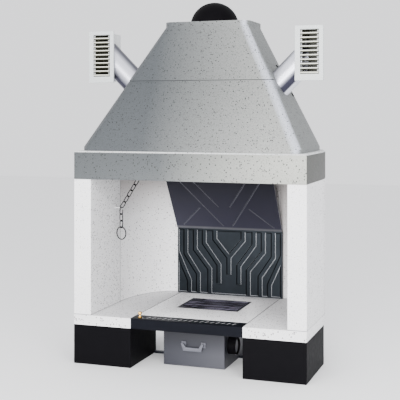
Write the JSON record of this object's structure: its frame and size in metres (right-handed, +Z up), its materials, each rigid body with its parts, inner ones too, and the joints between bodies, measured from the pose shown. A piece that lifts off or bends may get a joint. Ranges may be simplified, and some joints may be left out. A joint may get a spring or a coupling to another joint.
{
  "type": "fireplace firebox",
  "caption": "Open wood-burning firebox with refractory hearth, iron fireback, tapering hood, warm-air grilles, ash drawer and pull-chain damper.",
  "frame": {"origin": "on the floor under the middle of the whole unit", "axes": "+Z up, -Y to the room (front), +X to the right seen from the front"},
  "size_m": [1.32, 0.8, 1.932],
  "materials": {
    "refractory": "white speckled cast refractory, fine grain",
    "mantel_stone": "light grey-green speckled stone, honed",
    "hood_stone": "grey speckled cast refractory",
    "black_plinth": "black painted concrete block",
    "cast": "dark blue-black cast iron, matt",
    "grate_iron": "dark cast iron",
    "casing_steel": "mid grey heat-proof paint",
    "inner_steel": "plain steel sheet",
    "bright_steel": "bright spiral duct steel",
    "white_paint": "pale grey-white enamel",
    "black_paint": "black heat-proof paint",
    "brass": "polished",
    "chain_iron": "blackened steel wire"
  },
  "bodies": {
    "firebox": {"air_collar": "black_paint", "ash_casing": "casing_steel", "back_panel": "refractory", "chain_hook": "chain_iron", "corner_panel_left": "refractory", "corner_panel_right": "refractory", "damper_bracket_left": "inner_steel", "damper_bracket_right": "inner_steel", "duct_left": "bright_steel", "duct_right": "bright_steel", "fireback": "cast", "flue_ring": "cast", "grate": "grate_iron", "grille_box_left": "white_paint", "grille_box_right": "white_paint", "grille_left": "white_paint", "grille_right": "white_paint", "hearth_plate": "refractory", "hearth_slab_left": "refractory", "hearth_slab_right": "refractory", "hood_lower": "hood_stone", "hood_upper": "hood_stone", "mantel": "mantel_stone", "plinth_left": "black_plinth", "plinth_right": "black_plinth", "side_panel_left": "refractory", "side_panel_right": "refractory", "smoke_chamber": "inner_steel", "threshold_bar": "cast", "tie_bar_left": "cast", "tie_bar_right": "cast", "upper_fireback": "cast"},
    "ash_drawer": {"ash_drawer_tray": "casing_steel", "ash_drawer_front": "casing_steel", "ash_drawer_handle": "casing_steel"},
    "air_control": {"air_register": "inner_steel", "brass_knob": "brass"},
    "damper": {"damper_shaft": "inner_steel", "damper_flap": "inner_steel", "damper_lever": "inner_steel"},
    "pull_chain": {"chain_link_1": "chain_iron", "chain_link_2": "chain_iron", "chain_link_3": "chain_iron", "chain_link_4": "chain_iron", "chain_link_5": "chain_iron", "chain_link_6": "chain_iron", "chain_link_7": "chain_iron", "chain_link_8": "chain_iron", "chain_link_9": "chain_iron", "pull_rod": "chain_iron"},
    "pull_ring": {"pull_ring": "chain_iron"},
    "flue_dome": {"flue_dome": "black_paint"},
    "air_valve": {"air_valve_disc": "inner_steel"}
  },
  "joints": [
    {"name": "ash_drawer_slide", "type": "slide", "parent": "firebox", "child": "ash_drawer", "axis": [0, -1, 0], "range_m": [0, 0.4]},
    {"name": "air_control_slide", "type": "slide", "parent": "firebox", "child": "air_control", "axis": [1, 0, 0], "range_m": [0, 0.012]},
    {"name": "damper_turn", "type": "hinge", "parent": "firebox", "child": "damper", "pos_m": [0, -0.138, 1.09], "axis": [1, 0, 0], "range_deg": [0, 50]},
    {"name": "chain_pull", "type": "slide", "parent": "firebox", "child": "pull_chain", "axis": [0, 0, 1], "range_m": [0, 0.0765]},
    {"name": "ring_swing", "type": "hinge", "parent": "pull_chain", "child": "pull_ring", "pos_m": [-0.4835, -0.116, 0.6919], "axis": [0.9397, -0.342, 0], "range_deg": [-20, 35]},
    {"name": "dome_swivel", "type": "hinge", "parent": "firebox", "child": "flue_dome", "pos_m": [0, 0.065, 1.797], "axis": [0, 0, 1], "range_deg": [-120, 120]},
    {"name": "air_valve_turn", "type": "hinge", "parent": "firebox", "child": "air_valve", "pos_m": [0.2023, -0.19, 0.108], "axis": [0, 0, 1], "range_deg": [0, 90]}
  ],
  "couplings": [
    {"joint": "chain_pull", "follows": "damper_turn", "m_per_rad": 0.0872}
  ]
}
